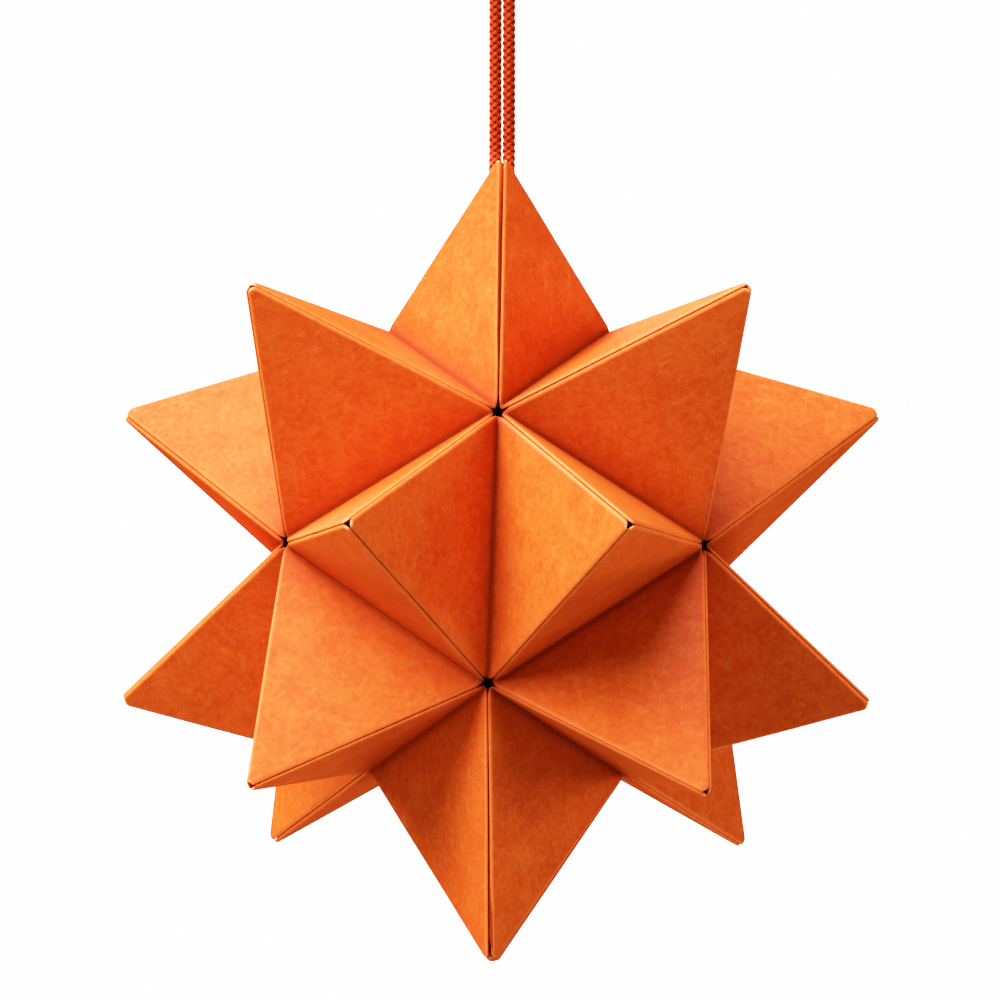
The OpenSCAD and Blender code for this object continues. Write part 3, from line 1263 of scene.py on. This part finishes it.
def even_curve(route: Vec, step: float, fine: int = 40) -> Vec:
    """A smooth curve through a route's points.

    Args:
        route: The points, in order.
        step: Distance between the curve's points.
        fine: Points from one of the route's points to the next, before they are spaced.

    Returns:
        The curve's points, evenly apart.
    """
    padded = np.concatenate([[2 * route[0] - route[1]], route, [2 * route[-1] - route[-2]]])
    share = np.linspace(0, 1, fine, endpoint=False)[:, None]
    pieces = []
    for a, b, c, d in zip(padded, padded[1:], padded[2:], padded[3:]):
        pieces.append(
            b
            + 0.5 * share * (c - a)
            + share**2 * (a - 2.5 * b + 2 * c - 0.5 * d)
            + share**3 * (1.5 * (b - c) + 0.5 * (d - a))
        )
    curve = np.concatenate([*pieces, route[-1:]])
    length = distances(curve)
    places = np.linspace(0, length[-1], int(round(length[-1] / step)) + 1)
    return np.stack([np.interp(places, length, curve[:, k]) for k in range(3)], 1)


@dataclass(frozen=True)
class Softbox:
    """One soft round lamp that faces the star.

    Its azimuth is 0 beside the camera and 90 degrees at the star's right, and its light is the share that a
    white card at the star would send back. A lamp without shine only fills shadows and gives no glare.
    """

    name: str
    azimuth: float
    elevation: float
    size: float
    light: float
    shine: bool = False
    distance: float = 1.6

    @property
    def power(self) -> float:
        """The lamp's power in watts."""
        return self.light * (math.pi * self.distance) ** 2

    def place(self, view: Viewpoint) -> Vector:
        """Where the lamp stands.

        Args:
            view: The direction that the star is seen from.

        Returns:
            Its place from the middle of the star, in metres.
        """
        right, ahead, up = (Vector(axis) for axis in view.axes())
        around, above = math.radians(self.azimuth), math.radians(self.elevation)
        level = right * math.sin(around) - ahead * math.cos(around)
        return (level * math.cos(above) + up * math.sin(above)) * self.distance


@dataclass
class Studio:
    """Camera, soft lamps and pale floor.

    Distances and the floor's sizes are in metres. The camera's lens, lift and shift are in millimetres.
    """

    sizes: StarSizes
    view: Viewpoint
    distance: float = 2.29
    lens: float = 430.6
    sensor: float = 36.0
    clip: Pair = (0.05, 200.0)
    lift: float = 12.5
    shift_left: float = 0.1
    floor_drop: float = 1.5
    floor_side: float = 60.0
    floor_light: float = 0.05
    floor_grey: float = 0.02
    floor_roughness: float = 0.9
    white: float = 5.0
    curve_reach: float = 8.0
    curve_lights: tuple[float, ...] = (0.12, 0.25, 0.4, 0.6, 0.85, 1.15, 1.5, 2.0, 2.6, 3.3, 4.2, 5.5)
    lamps: tuple[Softbox, ...] = (
        Softbox("rear_left", -130.0, 50.0, 1.0, 6.3, shine=True),
        Softbox("key", -60.0, 50.0, 0.9, 3.5, shine=True),
        Softbox("low_key", -55.0, 25.0, 0.9, 2.0, shine=True),
        Softbox("overhead", 0.0, 66.0, 0.9, 2.0, shine=True),
        Softbox("right_fill", 72.0, 5.0, 0.8, 0.85),
        Softbox("low_left", -60.0, -30.0, 0.8, 0.3),
        Softbox("low_right", 50.0, -30.0, 0.8, 0.18),
        Softbox("under_left", -120.0, -50.0, 0.8, 0.92),
        Softbox("under_right", 120.0, -50.0, 0.8, 0.8),
    )

    def camera(self) -> None:
        """Sets the camera where the photograph was taken from."""
        right, ahead, up = (Vector(axis) for axis in self.view.axes())
        centre = Vector(self.sizes.centre) * MM
        data = bpy.data.cameras.new("camera")
        data.lens = self.lens
        data.sensor_width = self.sensor
        data.clip_start, data.clip_end = self.clip
        camera = bpy.data.objects.new("camera", data)
        place = centre - ahead * self.distance + up * self.lift * MM - right * self.shift_left * MM
        axes = Matrix((right, up, -ahead)).transposed().to_4x4()
        camera.matrix_world = Matrix.Translation(place) @ axes
        bpy.context.scene.collection.objects.link(camera)
        bpy.context.scene.camera = camera

    def light(self) -> None:
        """Adds the lamps and the pale surround."""
        centre = Vector(self.sizes.centre) * MM
        for box in self.lamps:
            data = bpy.data.lights.new(box.name, "AREA")
            data.shape = "DISK"
            data.size = box.size
            data.energy = box.power
            lamp = bpy.data.objects.new(box.name, data)
            lamp.location = centre + box.place(self.view)
            lamp.rotation_mode = "QUATERNION"
            lamp.rotation_quaternion = (-box.place(self.view)).to_track_quat("-Z", "Y")
            lamp.visible_camera = False
            lamp.visible_glossy = box.shine
            bpy.context.scene.collection.objects.link(lamp)
        world = bpy.data.worlds.new("surround")
        world.use_nodes = True
        tree = world.node_tree
        tree.nodes.clear()
        back = tree.nodes.new("ShaderNodeBackground")
        path = tree.nodes.new("ShaderNodeLightPath")
        strength = tree.nodes.new("ShaderNodeMath")
        strength.operation = "MULTIPLY"
        strength.inputs[1].default_value = self.white
        output = tree.nodes.new("ShaderNodeOutputWorld")
        tree.links.new(path.outputs["Is Camera Ray"], strength.inputs[0])
        tree.links.new(strength.outputs[0], back.inputs["Strength"])
        tree.links.new(back.outputs["Background"], output.inputs["Surface"])
        bpy.context.scene.world = world

    def response(self) -> None:
        """Gives the picture a camera's soft shoulder, so that brightly lit paper keeps its colour."""
        settings = bpy.context.scene.view_settings
        settings.view_transform = "Standard"
        settings.use_curve_mapping = True
        mapping = settings.curve_mapping
        mapping.clip_max_x = self.curve_reach
        *_, curve = mapping.curves
        curve.points[1].location = (self.curve_reach, 1 - math.exp(-self.curve_reach))
        for light in self.curve_lights:
            curve.points.new(light, 1 - math.exp(-light))
        mapping.update()

    def floor(self) -> None:
        """Lays the floor well below the star: it looks pale, and sends little light up to the star."""
        nodes = Nodes("pale_floor")
        nodes.shader.inputs["Base Color"].default_value = (*[self.floor_grey] * 3, 1.0)
        nodes.shader.inputs["Roughness"].default_value = self.floor_roughness
        nodes.shader.inputs["Emission Color"].default_value = (1.0, 1.0, 1.0, 1.0)
        seen = nodes.tree.nodes.new("ShaderNodeLightPath").outputs["Is Camera Ray"]
        nodes.join(nodes.span(seen, self.floor_light, self.white), nodes.shader.inputs["Emission Strength"])
        half = self.floor_side / 2
        height = self.sizes.centre[2] * MM - self.floor_drop
        mesh = bpy.data.meshes.new("floor")
        corners = [(x * half, y * half, height) for x, y in ((-1, -1), (1, -1), (1, 1), (-1, 1))]
        mesh.from_pydata(corners, [], [(0, 1, 2, 3)])
        mesh.materials.append(nodes.material)
        floor = bpy.data.objects.new("floor", mesh)
        floor.visible_glossy = False
        bpy.context.scene.collection.objects.link(floor)


def main() -> None:
    """Builds the camera, the cord, the units and the studio."""
    logging.basicConfig(level=logging.INFO, format="%(name)s: %(message)s")
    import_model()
    sizes = StarSizes()
    view = Viewpoint(sizes)
    folding = HandFolding(sizes, view)
    studio = Studio(sizes, view)
    studio.camera()
    pieces = DoubledCord(sizes).build(CordFinish().material())
    paper = PaperFinish().material()
    for index, crease in enumerate(sizes.creases()):
        pieces.append(FoldedUnit(index, crease, sizes, folding).build(paper))
    for piece in pieces:
        LOG.info("%s: %d points, %d faces", piece.name, len(piece.data.vertices), len(piece.data.polygons))
    studio.light()
    studio.response()
    studio.floor()


if __name__ == "__main__":
    main()
